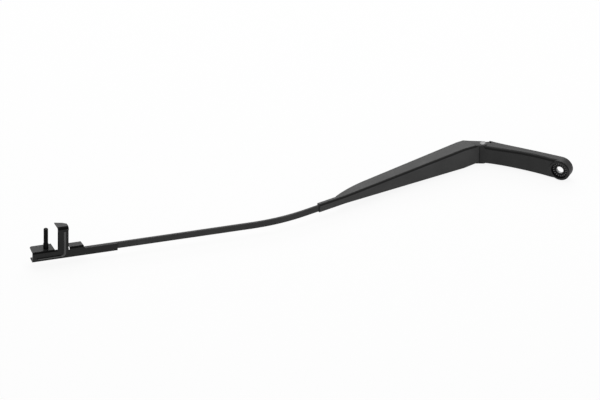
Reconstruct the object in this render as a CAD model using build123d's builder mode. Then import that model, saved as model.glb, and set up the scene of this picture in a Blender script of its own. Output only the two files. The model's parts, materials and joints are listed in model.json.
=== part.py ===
from build123d import *
import os
from math import acos, atan2, cos, degrees, hypot, radians, sin, tau

# Windscreen wiper arm with a side-pin blade fitting, lying on its side and folded open at its hinge.
# Row frame: origin on the spindle axis at the nut seat, +Y along the spindle into the vehicle,
# -X along the head towards the hinge, +Z along the hinge pin and the blade pin.

# Mounting head
head_depth = 10.7          # outer face of the boss to the open underside
boss_radius = 12.2
bore_radius = 4.2          # clears the threaded end of an M8 spindle
seat_thick = 3.0           # plate under the nut
hollow_radius = 8.6        # open underside of the boss
recess_radius = 9.5        # room for the nut and its socket
recess_depth = 2.4
hinge_reach = 92.0         # spindle axis to hinge axis along X
waist_half = 11.5          # half widths of the head along Z
shoulder_half = 11.2
boss_rise = 0.7            # boss rim above the face beside it
head_wall = 2.4
edge_round = 3.3
boss_round = 1.4

# Hinge
pin_under_boss = 1.9       # hinge axis below the outer face of the boss
nose_radius = 5.2          # round end of the lugs about the hinge axis
skin_over_pin = 5.0        # outer face of the head over the hinge axis
lug_half = 9.7
pin_radius = 2.5
pin_end_radius = 2.2       # riveted ends in the ears
rivet_radius = 3.5
rivet_height = 0.9
running_gap = 0.05         # radial, pin in bush and anchor pin in link
bush_wall = 0.8
bush_flange = 0.5
bush_flange_radius = 4.1
side_gap = 0.2             # bush flange to ear
swing_gap = 0.3            # around the nose and the ears
stop_gap = 0.1             # ears to the flanks they rest on when lifted
lift_angle = 55.4          # channel above the head in the pose of the photograph

# Spring link and its cross pin in the head
anchor_dx = 6.0            # from the hinge axis towards the spindle
anchor_dy = 6.0            # and towards the glass
anchor_radius = 1.8
lobe_radius = 3.8
link_thick = 2.5
link_width = 4.4
link_eye_radius = 4.0
link_under_pin = 5.4       # centre line of the link below the hinge axis
link_bow = 3.2             # the link starts to rise to its cross pin this far behind the hinge axis
link_slope = 0.016
link_reach = 74.0          # hinge axis to the spring eye along the channel
spring_eye_radius = 3.2
slot_gap = 0.9             # link to the sides of its slot

# Arm channel, folded sheet
sheet = 1.4
channel_length = 212.5     # hinge axis to the end of the neck
neck_length = 24.0
web_rise = 1.0             # web above the hinge axis, outwards
ear_radius = 4.5
ear_rise = 2.0             # the ears run down to the web over this length
ear_length = 15.0          # hinge axis to the back corner of the walls
taper_start = 24.0         # the sides run in from here
taper_half = 12.6
taper_end = 178.0          # to the width of the neck
wall_depth = 17.4          # at the hinge end
waist_depth = 13.7         # where the walls begin to run out
runout_length = 38.5       # walls fall to the neck over this length
bend_radius = 2.4
neck_round = 0.9

# Rod
rod_width = 7.6
rod_thick = 3.0
rod_inside = 74.0          # length of the rod inside the channel
rod_straight = 18.0        # neck to the bend
rod_bend_radius = 210.0
rod_bend_angle = 17.5
rod_far = 250.1            # end of the bend to the end of the blade fitting
rod_stop = 45.5            # end of the fitting to the end of the rod
rod_leg = 9.5              # turned-down inner end that holds the spring
rod_leg_bend = 4.2
spring_edge = 4.2          # hole for the spring above the end of the leg
spring_hole_radius = 1.3
rod_round = 0.45           # long edges

# Tension spring
wire_radius = 0.85
coil_radius = 3.0
coil_pitch = 3.2
coil_steps = 10            # straight lengths of wire in one turn
hook_lead = 8.0            # eye of the link to the first coil
tail_lead = 12.0           # least length from the last coil to the leg of the rod
tail_length = 4.0          # wire behind the leg of the rod

# Blade fitting
carrier_sheet = 1.2
carrier_length = 97.0
carrier_height = 13.4      # over both flanges
flange_depth = 9.8
rod_float = 1.1            # rod to the lower flange
tab_depth = 9.4
tab_start = 42.4           # from the end of the fitting
tab_length = 16.2
relief_depth = 3.4         # notch beside the strap
tab_slant = 1.4
tab_corner = 1.6           # end corner of the bracket's tab
strap_start = 28.6
strap_width = 12.4
strap_height = 28.4        # bracket flange to the top of the hook
hook_length = 16.4
hook_short = 3.6           # the hook is shorter on the side of the rod
hook_corner = 4.0
hook_tilt = 10.5           # hook bent past a right angle
hook_radius = 2.4
strap_chamfer = 1.3        # width of the flats along the strap
strap_bead = 0.9
bead_width = 2.6
fold_radius = 2.0
bracket_tab_length = 25.6
bracket_tab_depth = 14.6
bracket_margin = 2.2       # front sheet short of the lower edge
corner_radius = 4.0
blade_pin_radius = 2.5
blade_pin_length = 25.6
blade_pin_back = 16.6      # from the end of the fitting
blade_pin_deep = 6.8       # behind the outer face of the bracket
collar_radius = 2.9
collar_length = 6.4
pin_shank_radius = 1.9
rivet_tail = 1.0
pin_chamfer = 0.5

os.makedirs("parts", exist_ok=True)

# Shared places in the row frame
outer_y = -recess_depth
under_y = head_depth - recess_depth
hinge_x = -hinge_reach
hinge_y = outer_y + pin_under_boss
skin_y = hinge_y - skin_over_pin
anchor_x = hinge_x + anchor_dx
anchor_y = hinge_y + anchor_dy
ear_half = lug_half + bush_flange + side_gap + sheet
neck_half = rod_width / 2 + sheet
crest = (ear_radius + ear_rise, web_rise)
ear_turn = degrees(atan2(crest[1], crest[0]) + acos(ear_radius / hypot(*crest))) - 90

# Frames of the channel and of the far rod: x towards the blade, y outwards, z along the pins
lift = radians(lift_angle)
arm_plane = Plane(origin=(hinge_x, hinge_y, 0), x_dir=(-cos(lift), -sin(lift), 0), z_dir=(0, 0, 1))
web_out = web_rise
web_in = web_out - sheet
rod_y = web_in - rod_thick / 2
rod_bend_x = channel_length + rod_straight
turn = radians(rod_bend_angle)
far_x = rod_bend_x + rod_bend_radius * sin(turn)
far_y = rod_y - rod_bend_radius * (1 - cos(turn))
tip_origin = arm_plane.from_local_coords((far_x + rod_far * cos(turn), far_y - rod_far * sin(turn), 0))
tip_dir = lift - turn
tip_plane = Plane(origin=tip_origin, x_dir=(cos(tip_dir), sin(tip_dir), 0), z_dir=(0, 0, 1))

# In the tip frame x runs from the end of the fitting back along the rod, and y runs towards the glass
rod_face = -rod_thick / 2
carrier_face = rod_face - carrier_sheet
bracket_face = carrier_face - carrier_sheet
low_z = -rod_width / 2 - rod_float - carrier_sheet
high_z = low_z + carrier_height
hook_z = high_z + strap_height
blade_pin_y = bracket_face + blade_pin_deep

# Line of the spring in the channel's frame, from the eye of the link to the turned-down end of the rod
anchor_at = arm_plane.to_local_coords(Vector(anchor_x, anchor_y, 0))
leg_x = channel_length - rod_inside
eye = Vector(link_reach, -link_under_pin - link_slope * link_reach, 0)
spring_hole_y = rod_y - rod_leg + spring_edge
spring_end = Vector(leg_x, spring_hole_y - coil_radius, 0)
spring_dir = (spring_end - eye).normalized()
coil_room = (spring_end - eye).length - hook_lead - tail_lead
coil_turns = int(coil_room / coil_pitch - 0.7) + 0.7


# Mounting head: side profile, cut to its plan, then hollowed from the underside
with BuildPart() as mounting_head:
    face_y = outer_y + boss_rise
    shoulder_x = hinge_x + ear_radius + swing_gap
    with BuildSketch(Plane.XY):
        with BuildLine():
            rear = Line((boss_radius, under_y), (anchor_x + lobe_radius, under_y))
            lobe = Line(rear @ 1, (hinge_x, under_y))
            front = Line(lobe @ 1, (hinge_x, skin_y))
            flat = Line(front @ 1, (shoulder_x, skin_y))
            sweep_face = Spline(
                flat @ 1, (-hinge_reach / 2, face_y + boss_rise * 0.7), (-boss_radius, face_y),
                tangents=[(1, 0.14), (1, -0.1)],
            )
            step = Line(sweep_face @ 1, (boss_radius, face_y))
            Line(step @ 1, rear @ 0)
        make_face()
    extrude(amount=boss_radius, both=True)
    plan = Plane(origin=(0, 0, 0), x_dir=(1, 0, 0), z_dir=(0, 1, 0))
    with BuildSketch(plan):
        with BuildLine():
            top = Spline(
                (shoulder_x, shoulder_half), (-hinge_reach * 0.56, waist_half), (0, boss_radius),
                tangents=[(1, -0.04), (1, 0)],
            )
            cap = CenterArc((0, 0), boss_radius, 90, -180)
            low = Spline(
                (0, -boss_radius), (-hinge_reach * 0.56, -waist_half), (shoulder_x, -shoulder_half),
                tangents=[(-1, 0), (-1, -0.04)],
            )
            Polyline(
                (shoulder_x, -shoulder_half), (hinge_x, -shoulder_half),
                (hinge_x, shoulder_half), (shoulder_x, shoulder_half),
            )
        make_face()
    extrude(amount=2 * head_depth, both=True, mode=Mode.INTERSECT)
    rims = edges().filter_by(lambda e: e.length > hinge_reach / 2 and e.center().Y < 0)
    fillet(rims, radius=edge_round)
    # Shoulders cut back around the ears, with a flank that the ears rest on when the arm is lifted
    with BuildSketch(Plane.XY) as ear_room:
        with Locations((hinge_x, hinge_y)):
            Circle(ear_radius + swing_gap)
            Rectangle(ear_radius + swing_gap, 2 * head_depth, align=(Align.MIN, Align.MIN))
            Rectangle(head_depth, 4 * head_depth, align=(Align.MAX, Align.CENTER))
            Rectangle(
                2 * ear_rise, ear_radius + stop_gap, rotation=180 + lift_angle + ear_turn,
                align=(Align.MIN, Align.MIN),
            )
    for side_z in (lug_half, -lug_half - boss_radius):
        extrude(ear_room.sketch.moved(Location((0, 0, side_z))), amount=boss_radius, mode=Mode.SUBTRACT)
    # Open underside of the casting, between the lugs and the boss
    pocket_start = anchor_x + lobe_radius + head_wall
    pocket_end = -boss_radius - head_wall / 2
    pocket_floor = face_y + boss_rise * 0.7 + head_wall
    with BuildSketch(plan.offset(pocket_floor)):
        with BuildLine():
            Polyline(
                (pocket_start, waist_half - head_wall), (pocket_end, waist_half - head_wall),
                (pocket_end, head_wall - waist_half), (pocket_start, head_wall - waist_half), close=True,
            )
        make_face()
        fillet(vertices(), radius=head_wall)
    extrude(amount=head_depth, mode=Mode.SUBTRACT)
    # Round lugs: nose about the hinge axis and a lobe about the anchor pin
    with BuildSketch(Plane.XY):
        with Locations((hinge_x, hinge_y)):
            Circle(nose_radius)
        with Locations((anchor_x, anchor_y)):
            Circle(lobe_radius)
        make_hull()
    extrude(amount=lug_half, both=True)
    with BuildSketch(Plane.XY):
        with Locations((hinge_x, skin_y - nose_radius)):
            Rectangle(4 * nose_radius, 2 * nose_radius)
    extrude(amount=lug_half, both=True, mode=Mode.SUBTRACT)
    # Boss, nut recess, bore and open underside
    with BuildSketch(Plane.XZ.offset(-under_y)):
        Circle(boss_radius)
    extrude(amount=head_depth)
    boss_rim = edges().filter_by(GeomType.CIRCLE).filter_by(
        lambda e: abs(e.radius - boss_radius) < 0.01 and abs(e.center().Y - outer_y) < 0.01)
    fillet(boss_rim, radius=boss_round)
    with Locations(Plane.XZ.offset(-outer_y)):
        CounterBoreHole(bore_radius, recess_radius, recess_depth)
    with BuildSketch(Plane.XZ.offset(-under_y)):
        Circle(hollow_radius)
    extrude(amount=under_y - seat_thick, mode=Mode.SUBTRACT)
    # Slot for the spring link, and the cross bores
    slot_half = link_thick / 2 + slot_gap
    slot_end = anchor_x + link_eye_radius + swing_gap
    with BuildSketch(Plane.XY):
        with BuildLine():
            Polyline(
                (hinge_x - 2 * nose_radius, hinge_y - pin_radius - swing_gap),
                (slot_end, hinge_y - pin_radius - swing_gap),
                (slot_end, under_y + lobe_radius), (hinge_x - 2 * nose_radius, under_y + lobe_radius),
                close=True,
            )
        make_face()
    extrude(amount=slot_half, both=True, mode=Mode.SUBTRACT)
    with Locations((hinge_x, hinge_y)):
        Hole(pin_radius + running_gap + bush_wall)
    with Locations((anchor_x, anchor_y)):
        Hole(anchor_radius)
mounting_head.part.label = "mounting_head"
export_step(mounting_head.part, "parts/mounting_head.step")

# Cross pin that carries the spring link
with BuildPart() as spring_anchor_pin:
    with Locations((anchor_x, anchor_y, 0)):
        Cylinder(anchor_radius, 2 * lug_half)
    chamfer(edges().filter_by(GeomType.CIRCLE), length=0.3)
spring_anchor_pin.part.label = "spring_anchor_pin"
export_step(spring_anchor_pin.part, "parts/spring_anchor_pin.step")

# Flanged bushes pressed into the lugs from outside
with BuildPart() as hinge_bush_upper:
    with BuildSketch(Plane(origin=(hinge_x, hinge_y, slot_half))):
        Circle(pin_radius + running_gap + bush_wall)
        Circle(pin_radius + running_gap, mode=Mode.SUBTRACT)
    extrude(amount=lug_half - slot_half)
    with BuildSketch(Plane(origin=(hinge_x, hinge_y, lug_half))):
        Circle(bush_flange_radius)
        Circle(pin_radius + running_gap, mode=Mode.SUBTRACT)
    extrude(amount=bush_flange)
hinge_bush_upper.part.label = "hinge_bush_upper"
export_step(hinge_bush_upper.part, "parts/hinge_bush_upper.step")

with BuildPart() as hinge_bush_lower:
    mirror(hinge_bush_upper.part, about=Plane.XY)
hinge_bush_lower.part.label = "hinge_bush_lower"
export_step(hinge_bush_lower.part, "parts/hinge_bush_lower.step")

# Hinge pin, riveted over in the ears
with BuildPart() as hinge_pin:
    with Locations((hinge_x, hinge_y, 0)):
        Cylinder(pin_radius, 2 * (ear_half - sheet))
        Cylinder(pin_end_radius, 2 * ear_half)
    with Locations((hinge_x, hinge_y, ear_half), (hinge_x, hinge_y, -ear_half - rivet_height)):
        Cylinder(rivet_radius, rivet_height, align=(Align.CENTER, Align.CENTER, Align.MIN))
    chamfer([edges().sort_by(Axis.Z)[0], edges().sort_by(Axis.Z)[-1]], length=rivet_height * 0.7)
hinge_pin.part.label = "hinge_pin"
export_step(hinge_pin.part, "parts/hinge_pin.step")

# Arm channel: side profile cut to its tapering plan, opened from the glass side, with its two ears
with BuildPart() as arm_channel:
    neck_x = channel_length - neck_length
    neck_low = web_in - rod_thick - sheet
    window_end = nose_radius + swing_gap
    ear_run = window_end + 2 * bend_radius
    corner = (ear_length, web_out - wall_depth)
    lower = atan2(corner[1], corner[0]) - acos(ear_radius / hypot(*corner))
    ear_low = (ear_radius * cos(lower), ear_radius * sin(lower))
    upper = radians(90 + ear_turn)
    ear_high = (ear_radius * cos(upper), ear_radius * sin(upper))
    ear_slope = (corner[1] - ear_low[1]) / (corner[0] - ear_low[0])
    window_low = (window_end, ear_low[1] + ear_slope * (window_end - ear_low[0]))
    run_low = (ear_run, ear_low[1] + ear_slope * (ear_run - ear_low[0]))
    with BuildSketch(arm_plane):
        with BuildLine():
            Polyline(
                (neck_x, neck_low), (channel_length, neck_low), (channel_length, web_out),
                (window_end, web_out), window_low, corner, (neck_x - runout_length, web_out - waist_depth),
            )
            Spline(
                (neck_x - runout_length, web_out - waist_depth), (neck_x, neck_low),
                tangents=[(1, 0.06), (1, 0.45)],
            )
        make_face()
    extrude(amount=taper_half, both=True)
    channel_plan = Plane(origin=arm_plane.origin, x_dir=arm_plane.x_dir, z_dir=-arm_plane.y_dir)
    with BuildSketch(channel_plan):
        with BuildLine():
            Polyline(
                (0, ear_half), (ear_run, ear_half), (taper_start, taper_half),
                (taper_end, neck_half), (channel_length, neck_half), (channel_length, -neck_half),
                (taper_end, -neck_half), (taper_start, -taper_half), (ear_run, -ear_half),
                (0, -ear_half), close=True,
            )
        make_face()
    extrude(amount=2 * wall_depth, both=True, mode=Mode.INTERSECT)
    # Folded edges of the web
    web_edges = edges().filter_by(GeomType.LINE).filter_by(
        lambda e: abs(arm_plane.to_local_coords(e.center()).Y - web_out) < 0.01
        and abs(e.center().Z) > neck_half / 2)
    fillet(web_edges, radius=bend_radius)
    # Inside of the channel
    ear_in = ear_half - sheet
    taper_in = taper_half - sheet
    neck_in = neck_half - sheet
    with BuildSketch(channel_plan.offset(-web_in)):
        with BuildLine():
            Polyline(
                (0, ear_in), (ear_run, ear_in), (taper_start, taper_in), (taper_end, neck_in),
                (neck_x, neck_in), (neck_x, -neck_in), (taper_end, -neck_in), (taper_start, -taper_in),
                (ear_run, -ear_in), (0, -ear_in), close=True,
            )
        make_face()
    extrude(amount=2 * wall_depth, mode=Mode.SUBTRACT)
    # Ears: the walls run on past the web to the hinge pin
    for ear_z in (ear_in, -ear_half):
        with BuildSketch(arm_plane.offset(ear_z)):
            with BuildLine():
                ThreePointArc(ear_high, (-ear_radius, 0), ear_low)
                Polyline(ear_low, run_low, (ear_run, web_out - bend_radius), crest, ear_high)
            make_face()
        extrude(amount=sheet)
    # Neck crimped around the rod, with its seam on the glass side
    neck_end = Plane(
        origin=arm_plane.from_local_coords((neck_x, neck_low, 0)), x_dir=arm_plane.y_dir, z_dir=arm_plane.x_dir)
    with BuildSketch(neck_end):
        for edge_z in (neck_half, -neck_half):
            with Locations((0, edge_z)):
                Rectangle(neck_round, neck_round, rotation=45)
    extrude(amount=neck_length, mode=Mode.SUBTRACT)
    with BuildSketch(arm_plane):
        with Locations((neck_x, rod_y)):
            Rectangle(3 * neck_length, rod_thick)
    extrude(amount=rod_width / 2, both=True, mode=Mode.SUBTRACT)
    with BuildSketch(arm_plane):
        with Locations((neck_x, rod_y - rod_thick)):
            Rectangle(3 * neck_length, 2 * rod_thick)
    extrude(amount=sheet / 2, both=True, mode=Mode.SUBTRACT)
    with Locations(arm_plane):
        Hole(pin_end_radius)
arm_channel.part.label = "arm_channel"
export_step(arm_channel.part, "parts/arm_channel.step")

# Flat rod: turned-down inner end, straight through the neck, one easy bend, then straight to the blade
with BuildPart() as arm_rod:
    with BuildSketch(arm_plane):
        with BuildLine():
            Line((leg_x, rod_y - rod_leg), (leg_x, rod_y - rod_leg_bend))
            RadiusArc((leg_x, rod_y - rod_leg_bend), (leg_x + rod_leg_bend, rod_y), rod_leg_bend)
            Line((leg_x + rod_leg_bend, rod_y), (rod_bend_x, rod_y))
            RadiusArc((rod_bend_x, rod_y), (far_x, far_y), rod_bend_radius)
            Line(
                (far_x, far_y),
                (far_x + (rod_far - rod_stop) * cos(turn), far_y - (rod_far - rod_stop) * sin(turn)),
            )
        trace(line_width=rod_thick)
    extrude(amount=rod_width / 2, both=True)
    chamfer(edges().filter_by(lambda e: abs(abs(e.center().Z) - rod_width / 2) < 0.01
            and e.length > 2 * rod_thick), length=rod_round)
    with Locations(Plane(origin=arm_plane.from_local_coords((leg_x, spring_hole_y, 0)), z_dir=arm_plane.x_dir)):
        Cylinder(spring_hole_radius, 2 * rod_thick, mode=Mode.SUBTRACT)
arm_rod.part.label = "arm_rod"
export_step(arm_rod.part, "parts/arm_rod.step")

# Spring link: flat strip that bows under the hinge pin from its cross pin to the eye for the spring
with BuildPart() as spring_link:
    with BuildSketch(arm_plane):
        with BuildLine():
            FilletPolyline(
                (anchor_at.X, anchor_at.Y), (-link_bow, -link_under_pin), (eye.X, eye.Y),
                radius=link_width,
            )
        trace(line_width=link_width)
        with Locations((anchor_at.X, anchor_at.Y)):
            Circle(link_eye_radius)
        with Locations((eye.X, eye.Y)):
            Circle(spring_eye_radius)
        with Locations((anchor_at.X, anchor_at.Y)):
            Circle(anchor_radius + running_gap, mode=Mode.SUBTRACT)
        with Locations((eye.X, eye.Y)):
            Circle(spring_hole_radius, mode=Mode.SUBTRACT)
    extrude(amount=link_thick / 2, both=True)
spring_link.part.label = "spring_link"
export_step(spring_link.part, "parts/spring_link.step")

# Tension spring: close coil with a hook through the link's eye and a tail through the rod's leg
coil_start = eye + spring_dir * hook_lead
coil_plane = Plane(
    origin=arm_plane.from_local_coords(coil_start), x_dir=(0, 0, 1),
    z_dir=arm_plane.from_local_coords(spring_dir + eye) - arm_plane.from_local_coords(eye),
)
coil_length = coil_turns * coil_pitch
tail = (spring_end - coil_start).length - coil_length
with BuildPart() as spring_wire:
    steps = range(round(coil_turns * coil_steps) + 1)
    angles = [tau * i / coil_steps for i in steps]
    rounds = [(coil_radius * cos(a), coil_radius * sin(a), coil_pitch * a / tau) for a in angles]
    tail_z = coil_length + tail + tail_length
    with BuildLine() as wire_path:
        Polyline(
            (-coil_radius, 0, -hook_lead), (coil_radius, 0, -hook_lead), *rounds,
            (0, -coil_radius, tail_z), (0, coil_radius, tail_z),
        )
    with BuildSketch(Plane(origin=wire_path.line @ 0, z_dir=wire_path.line % 0)):
        RegularPolygon(wire_radius, 6)
    sweep(path=wire_path.line, transition=Transition.RIGHT)
with BuildPart() as tension_spring:
    add(spring_wire.part.moved(coil_plane.location))
tension_spring.part.label = "tension_spring"
export_step(tension_spring.part, "parts/tension_spring.step")

# Rod carrier: folded channel on the end of the rod, with one tab beside the strap of the bracket
front_plane = Plane(
    origin=tip_plane.from_local_coords((0, carrier_face, 0)), x_dir=tip_plane.x_dir, z_dir=-tip_plane.y_dir)
tab_end = tab_start + tab_length
rod_top = rod_width / 2
strap_end = strap_start + strap_width
with BuildPart() as rod_carrier:
    with BuildSketch(front_plane):
        with BuildLine():
            Polyline(
                (0, low_z), (carrier_length, low_z), (carrier_length, rod_top),
                (tab_end + carrier_sheet, rod_top), (tab_end, high_z - carrier_sheet), (tab_end, high_z),
                (tab_start, high_z), (tab_start, high_z - relief_depth), (strap_end, high_z - relief_depth),
                (strap_end, high_z - carrier_sheet), (0, high_z - carrier_sheet), close=True,
            )
        make_face()
    extrude(amount=-carrier_sheet)
    with BuildSketch(tip_plane.offset(low_z)):
        with BuildLine():
            Polyline(
                (0, carrier_face), (carrier_length, carrier_face), (carrier_length, rod_thick / 2),
                (tab_end + flange_depth, rod_thick / 2), (tab_end, carrier_face + flange_depth),
                (0, carrier_face + flange_depth), close=True,
            )
        make_face()
    extrude(amount=carrier_sheet)
    with BuildSketch(tip_plane.offset(high_z)):
        with BuildLine():
            Polyline(
                (tab_start, carrier_face), (tab_end, carrier_face),
                (tab_end - tab_slant, carrier_face + tab_depth), (tab_start, carrier_face + tab_depth),
                close=True,
            )
        make_face()
    extrude(amount=-carrier_sheet)
    # Folds along the outer face
    folds = edges().filter_by(GeomType.LINE).filter_by(
        lambda e: abs(tip_plane.to_local_coords(e.center()).Y - carrier_face) < 0.01
        and (abs(e.center().Z - low_z) < 0.01 or abs(e.center().Z - high_z) < 0.01))
    fillet(folds, radius=fold_radius)
rod_carrier.part.label = "rod_carrier"
export_step(rod_carrier.part, "parts/rod_carrier.step")

# Blade bracket: front sheet lapped on the carrier, a tab for the pin, and a strap bent over as a hook
with BuildPart() as blade_bracket:
    with BuildSketch(front_plane):
        with BuildLine():
            FilletPolyline(
                (0, high_z), (0, low_z + bracket_margin), (strap_end, low_z + bracket_margin),
                (strap_end, high_z), radius=corner_radius,
            )
            Line((strap_end, high_z), (0, high_z))
        make_face()
    extrude(amount=carrier_sheet)
    with BuildSketch(tip_plane.offset(high_z)):
        with BuildLine():
            Polyline(
                (0, bracket_face), (bracket_tab_length, bracket_face),
                (bracket_tab_length - tab_slant, bracket_face + bracket_tab_depth),
                (tab_corner, bracket_face + bracket_tab_depth),
                (0, bracket_face + bracket_tab_depth - tab_corner), close=True,
            )
        make_face()
    extrude(amount=-carrier_sheet)
    strap_plane = Plane(
        origin=tip_plane.from_local_coords((strap_start, 0, 0)), x_dir=tip_plane.y_dir, z_dir=tip_plane.x_dir)
    sheet_y = bracket_face + carrier_sheet / 2
    sheet_z = hook_z - carrier_sheet / 2
    with BuildSketch(strap_plane):
        with BuildLine():
            FilletPolyline(
                (sheet_y, low_z + bracket_margin + corner_radius), (sheet_y, sheet_z),
                (sheet_y + 1.2 * hook_length, sheet_z - 1.2 * hook_length * sin(radians(hook_tilt))),
                radius=hook_radius,
            )
        trace(line_width=carrier_sheet)
    extrude(amount=strap_width)
    folds = edges().filter_by(GeomType.LINE).filter_by(
        lambda e: abs(tip_plane.to_local_coords(e.center()).Y - bracket_face) < 0.01
        and abs(e.center().Z - high_z) < 0.01 and e.length > bracket_tab_length / 2)
    fillet(folds, radius=fold_radius)
    # Long edges of the strap
    with BuildSketch(tip_plane.offset(high_z)):
        with Locations((strap_start, bracket_face), (strap_end, bracket_face)):
            Rectangle(strap_chamfer, strap_chamfer, rotation=45)
    extrude(amount=strap_height - 2 * hook_radius, mode=Mode.SUBTRACT)
    # The free end of the hook runs off at a slant, with one round corner
    hook_out = bracket_face + hook_length
    with BuildSketch(tip_plane.offset(hook_z)) as hook_end:
        with BuildLine():
            Polyline(
                (strap_start, hook_out), (strap_end - hook_corner, hook_out - hook_short),
                (strap_end, hook_out - hook_short - hook_corner), (strap_end, hook_out + strap_width),
                (strap_start, hook_out + strap_width), close=True,
            )
        make_face()
    extrude(amount=-strap_height / 2, mode=Mode.SUBTRACT)
    # Pressed bead that stiffens the strap and runs out along the front sheet
    bead_x = strap_start + strap_width * 0.64
    bead_z = low_z + bracket_margin + bead_width
    with BuildSketch(front_plane.offset(carrier_sheet)):
        with BuildLine():
            FilletPolyline(
                (bead_x, hook_z - 2.5 * hook_radius), (bead_x, bead_z), (bead_width * 2, bead_z),
                radius=corner_radius,
            )
        trace(line_width=bead_width)
    extrude(amount=strap_bead)
    bead_top = faces().sort_by(Axis(tip_plane.origin, tip_plane.y_dir))[0]
    fillet(bead_top.edges(), radius=strap_bead * 0.8)
    with Locations(tip_plane.offset(high_z).location * Location((blade_pin_back, blade_pin_y, 0))):
        Hole(pin_shank_radius, depth=2 * carrier_sheet)
blade_bracket.part.label = "blade_bracket"
export_step(blade_bracket.part, "parts/blade_bracket.step")

# Blade pin with its collar, riveted under the tab
with BuildPart() as blade_pin:
    with BuildSketch(Plane(origin=tip_plane.from_local_coords((blade_pin_back, blade_pin_y, high_z)))):
        Circle(collar_radius)
    extrude(amount=collar_length)
    with BuildSketch(Plane(origin=tip_plane.from_local_coords((blade_pin_back, blade_pin_y, high_z)))):
        Circle(blade_pin_radius)
    extrude(amount=blade_pin_length)
    chamfer(edges().sort_by(Axis.Z)[-1], length=pin_chamfer)
    with BuildSketch(Plane(origin=tip_plane.from_local_coords((blade_pin_back, blade_pin_y, high_z)))):
        Circle(pin_shank_radius)
    extrude(amount=-carrier_sheet)
    with BuildSketch(Plane(
            origin=tip_plane.from_local_coords((blade_pin_back, blade_pin_y, high_z - carrier_sheet)))):
        Circle(collar_radius)
    extrude(amount=-rivet_tail)
    chamfer(edges().sort_by(Axis.Z)[0], length=0.4)
blade_pin.part.label = "blade_pin"
export_step(blade_pin.part, "parts/blade_pin.step")
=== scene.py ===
"""Looks of a windscreen wiper arm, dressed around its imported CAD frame.

The arm lies on its side, folded open at its hinge. Every size is in metres, in the row frame: the origin
is on the spindle axis at the nut seat, +Y runs along the spindle into the vehicle, -X along the head to
the hinge, and +Z along the hinge pin and the blade pin.
"""

import json
import logging
import math
from dataclasses import dataclass, field
from enum import Enum

import bpy
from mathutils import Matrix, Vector

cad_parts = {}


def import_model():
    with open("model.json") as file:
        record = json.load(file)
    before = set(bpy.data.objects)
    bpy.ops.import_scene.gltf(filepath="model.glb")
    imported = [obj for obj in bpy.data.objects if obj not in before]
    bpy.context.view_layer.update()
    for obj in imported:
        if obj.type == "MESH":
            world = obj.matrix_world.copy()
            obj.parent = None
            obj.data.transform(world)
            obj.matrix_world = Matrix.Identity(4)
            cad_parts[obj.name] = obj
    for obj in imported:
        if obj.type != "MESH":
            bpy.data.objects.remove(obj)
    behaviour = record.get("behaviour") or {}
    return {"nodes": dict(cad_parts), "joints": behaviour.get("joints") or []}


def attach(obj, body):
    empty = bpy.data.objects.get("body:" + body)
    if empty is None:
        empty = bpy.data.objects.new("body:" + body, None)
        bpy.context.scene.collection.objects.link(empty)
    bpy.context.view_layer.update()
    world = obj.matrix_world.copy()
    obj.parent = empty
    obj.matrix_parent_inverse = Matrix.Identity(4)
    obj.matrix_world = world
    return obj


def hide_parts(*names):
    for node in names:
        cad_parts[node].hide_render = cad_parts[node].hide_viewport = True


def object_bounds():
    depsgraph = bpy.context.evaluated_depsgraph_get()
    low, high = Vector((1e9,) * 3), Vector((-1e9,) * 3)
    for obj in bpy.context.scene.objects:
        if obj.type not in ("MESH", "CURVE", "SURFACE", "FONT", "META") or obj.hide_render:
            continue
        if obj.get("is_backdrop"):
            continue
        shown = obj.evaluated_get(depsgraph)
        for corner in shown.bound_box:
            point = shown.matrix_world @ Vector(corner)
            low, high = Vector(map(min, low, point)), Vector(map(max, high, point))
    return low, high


LOG = logging.getLogger("wiper_arm")
MM = 0.001
# painted shade: a mask that darkens the coat along the folds
FOLD_SHADE_MASK = "fold_shade_mask"
HEAD_OUTWARD = Vector((0.0, -1.0, 0.0))
MIX_LOW, MIX_HIGH, MIX_RESULT = 6, 7, 2  # colour sockets of the Mix node
NOISE_DARK, NOISE_BRIGHT = 0.25, 0.75  # ends of the part of a noise that is used
FLAT_ANGLE = math.radians(0.4)  # triangles within this angle become one face
EASE_ANGLE = math.radians(38)  # edges sharper than this are eased
EASE_SEGMENTS = 2
SEAM_WELD = 0.006 * MM  # joins the points that eased edges leave side by side
CREASE_ANGLE = math.radians(40)  # edges sharper than this stay crisp

Color = tuple[float, float, float, float]


class Slot(Enum):
    """Material slots of the record."""

    HEAD_COAT = "head_coat"
    ARM_COAT = "arm_coat"
    ROD_COAT = "rod_coat"
    TIP_COAT = "tip_coat"
    PIN_COAT = "pin_coat"
    BARE_STEEL = "bare_steel"
    SPRING_STEEL = "spring_steel"
    BUSH_PLASTIC = "bush_plastic"


class Touch(Enum):
    """Coats that only some faces of a piece take, among them painted shade and painted highlight."""

    FOLD_SHADE = "fold_shade_coat"
    RECESS_SHADE = "recess_shade_coat"
    RUBBED = "rubbed_coat"
    BEAD_HIGHLIGHT = "bead_highlight_coat"
    BORE = "bore_metal"


class Body(Enum):
    """Bodies of the frame that pieces ride on."""

    HEAD = "head"
    ARM = "arm"
    LINK = "link"


def grey(level: float) -> Color:
    """A neutral colour of that linear level."""
    return (level, level, level, 1.0)


# Shader groups shared by the finishes


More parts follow.
